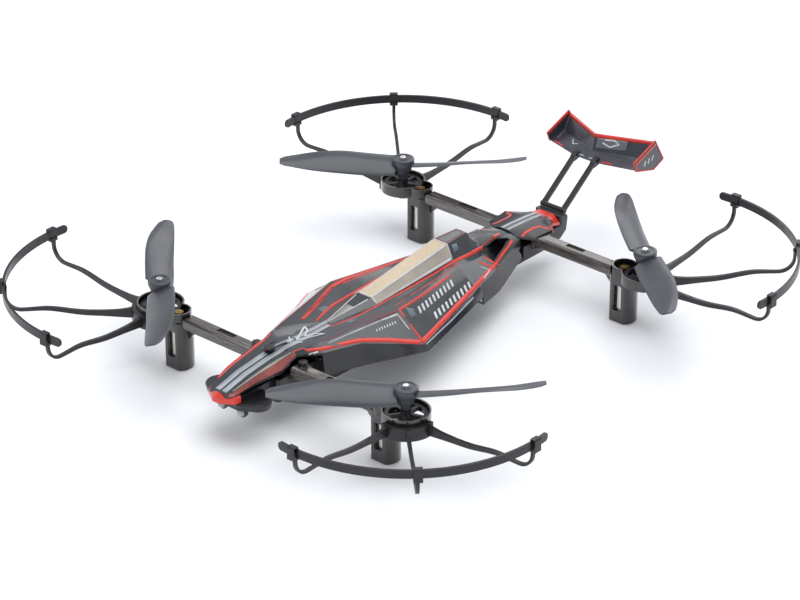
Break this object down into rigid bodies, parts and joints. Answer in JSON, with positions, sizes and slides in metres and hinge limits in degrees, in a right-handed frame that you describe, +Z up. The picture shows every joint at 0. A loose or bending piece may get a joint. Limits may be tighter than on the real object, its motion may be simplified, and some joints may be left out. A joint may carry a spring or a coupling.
{
  "type": "quadcopter drone",
  "caption": "Four-rotor toy drone with geared two-blade propellers, ring guards, a faceted body shell and a rear wing.",
  "frame": {"origin": "on the ground under the middle of the four rotor axes; the four motor pods stand on Z = 0", "axes": "+Z up, -Y towards the nose, +Y towards the wing, +X towards the right-hand rotors"},
  "size_m": [0.3152, 0.3401, 0.0603],
  "materials": {
    "accent_plastic": "gloss",
    "arm_plastic": "gloss",
    "battery_wrap": "shrink wrap",
    "board_laminate": "solder mask",
    "bush_metal": "machined",
    "chassis_plastic": "satin",
    "gear_plastic": "satin",
    "guard_plastic": "satin",
    "lamp_plastic": "clear",
    "lead_insulation": "matte",
    "motor_metal": "drawn",
    "pinion_metal": "machined",
    "pod_plastic": "gloss",
    "propeller_plastic": "satin",
    "shaft_steel": "polished",
    "shell_plastic": "gloss",
    "switch_plastic": "satin",
    "window_plastic": "gloss",
    "wing_plastic": "gloss"
  },
  "bodies": {
    "root": {"antenna": "lead_insulation", "arm_front_left": "arm_plastic", "arm_front_right": "arm_plastic", "arm_knobs": "chassis_plastic", "arm_rear_left": "arm_plastic", "arm_rear_right": "arm_plastic", "battery": "battery_wrap", "body_post": "chassis_plastic", "body_shell": "shell_plastic", "chassis": "chassis_plastic", "circuit_board": "board_laminate", "cockpit_window": "window_plastic", "front_bumper": "chassis_plastic", "guard_ring_front_left": "guard_plastic", "guard_ring_front_right": "guard_plastic", "guard_ring_rear_left": "guard_plastic", "guard_ring_rear_right": "guard_plastic", "guard_spider_front_left": "guard_plastic", "guard_spider_front_right": "guard_plastic", "guard_spider_rear_left": "guard_plastic", "guard_spider_rear_right": "guard_plastic", "head_lamps": "lamp_plastic", "motor_can_front_left": "motor_metal", "motor_can_front_right": "motor_metal", "motor_can_rear_left": "motor_metal", "motor_can_rear_right": "motor_metal", "motor_leads": "lead_insulation", "motor_pod_front_left": "pod_plastic", "motor_pod_front_right": "pod_plastic", "motor_pod_rear_left": "pod_plastic", "motor_pod_rear_right": "pod_plastic", "nose_cap": "accent_plastic", "shaft_bushes": "bush_metal", "switch_body": "switch_plastic", "tail_block": "chassis_plastic", "tail_cover": "shell_plastic", "wing": "wing_plastic", "wing_end_plates": "wing_plastic", "wing_stays": "chassis_plastic"},
    "rotor_front_left": {"spur_gear_front_left": "gear_plastic", "prop_shaft_front_left": "shaft_steel", "propeller_front_left": "propeller_plastic"},
    "motor_rotor_front_left": {"pinion_front_left": "pinion_metal"},
    "rotor_front_right": {"spur_gear_front_right": "gear_plastic", "prop_shaft_front_right": "shaft_steel", "propeller_front_right": "propeller_plastic"},
    "motor_rotor_front_right": {"pinion_front_right": "pinion_metal"},
    "rotor_rear_left": {"spur_gear_rear_left": "gear_plastic", "prop_shaft_rear_left": "shaft_steel", "propeller_rear_left": "propeller_plastic"},
    "motor_rotor_rear_left": {"pinion_rear_left": "pinion_metal"},
    "rotor_rear_right": {"spur_gear_rear_right": "gear_plastic", "prop_shaft_rear_right": "shaft_steel", "propeller_rear_right": "propeller_plastic"},
    "motor_rotor_rear_right": {"pinion_rear_right": "pinion_metal"},
    "battery_door": {"battery_door": "chassis_plastic"},
    "power_switch": {"power_switch": "switch_plastic"}
  },
  "joints": [
    {"name": "rotor_spin_front_left", "type": "hinge", "parent": "root", "child": "rotor_front_left", "pos_m": [-0.0795, -0.09, 0.04], "axis": [0, 0, 1], "continuous": true},
    {"name": "pinion_spin_front_left", "type": "hinge", "parent": "root", "child": "motor_rotor_front_left", "pos_m": [-0.0672, -0.09, 0.02], "axis": [0, 0, 1], "continuous": true},
    {"name": "rotor_spin_front_right", "type": "hinge", "parent": "root", "child": "rotor_front_right", "pos_m": [0.0795, -0.09, 0.04], "axis": [0, 0, 1], "continuous": true},
    {"name": "pinion_spin_front_right", "type": "hinge", "parent": "root", "child": "motor_rotor_front_right", "pos_m": [0.0672, -0.09, 0.02], "axis": [0, 0, 1], "continuous": true},
    {"name": "rotor_spin_rear_left", "type": "hinge", "parent": "root", "child": "rotor_rear_left", "pos_m": [-0.0795, 0.09, 0.04], "axis": [0, 0, 1], "continuous": true},
    {"name": "pinion_spin_rear_left", "type": "hinge", "parent": "root", "child": "motor_rotor_rear_left", "pos_m": [-0.0672, 0.09, 0.02], "axis": [0, 0, 1], "continuous": true},
    {"name": "rotor_spin_rear_right", "type": "hinge", "parent": "root", "child": "rotor_rear_right", "pos_m": [0.0795, 0.09, 0.04], "axis": [0, 0, 1], "continuous": true},
    {"name": "pinion_spin_rear_right", "type": "hinge", "parent": "root", "child": "motor_rotor_rear_right", "pos_m": [0.0672, 0.09, 0.02], "axis": [0, 0, 1], "continuous": true},
    {"name": "battery_door_slide", "type": "slide", "parent": "root", "child": "battery_door", "axis": [0, 1, 0], "range_m": [0, 0.03]},
    {"name": "power_switch_slide", "type": "slide", "parent": "root", "child": "power_switch", "axis": [0, 1, 0], "range_m": [0, 0.0026]}
  ],
  "couplings": [
    {"joint": "pinion_spin_front_left", "follows": "rotor_spin_front_left", "ratio": -4.8333},
    {"joint": "pinion_spin_front_right", "follows": "rotor_spin_front_right", "ratio": -4.8333},
    {"joint": "pinion_spin_rear_left", "follows": "rotor_spin_rear_left", "ratio": -4.8333},
    {"joint": "pinion_spin_rear_right", "follows": "rotor_spin_rear_right", "ratio": -4.8333}
  ]
}
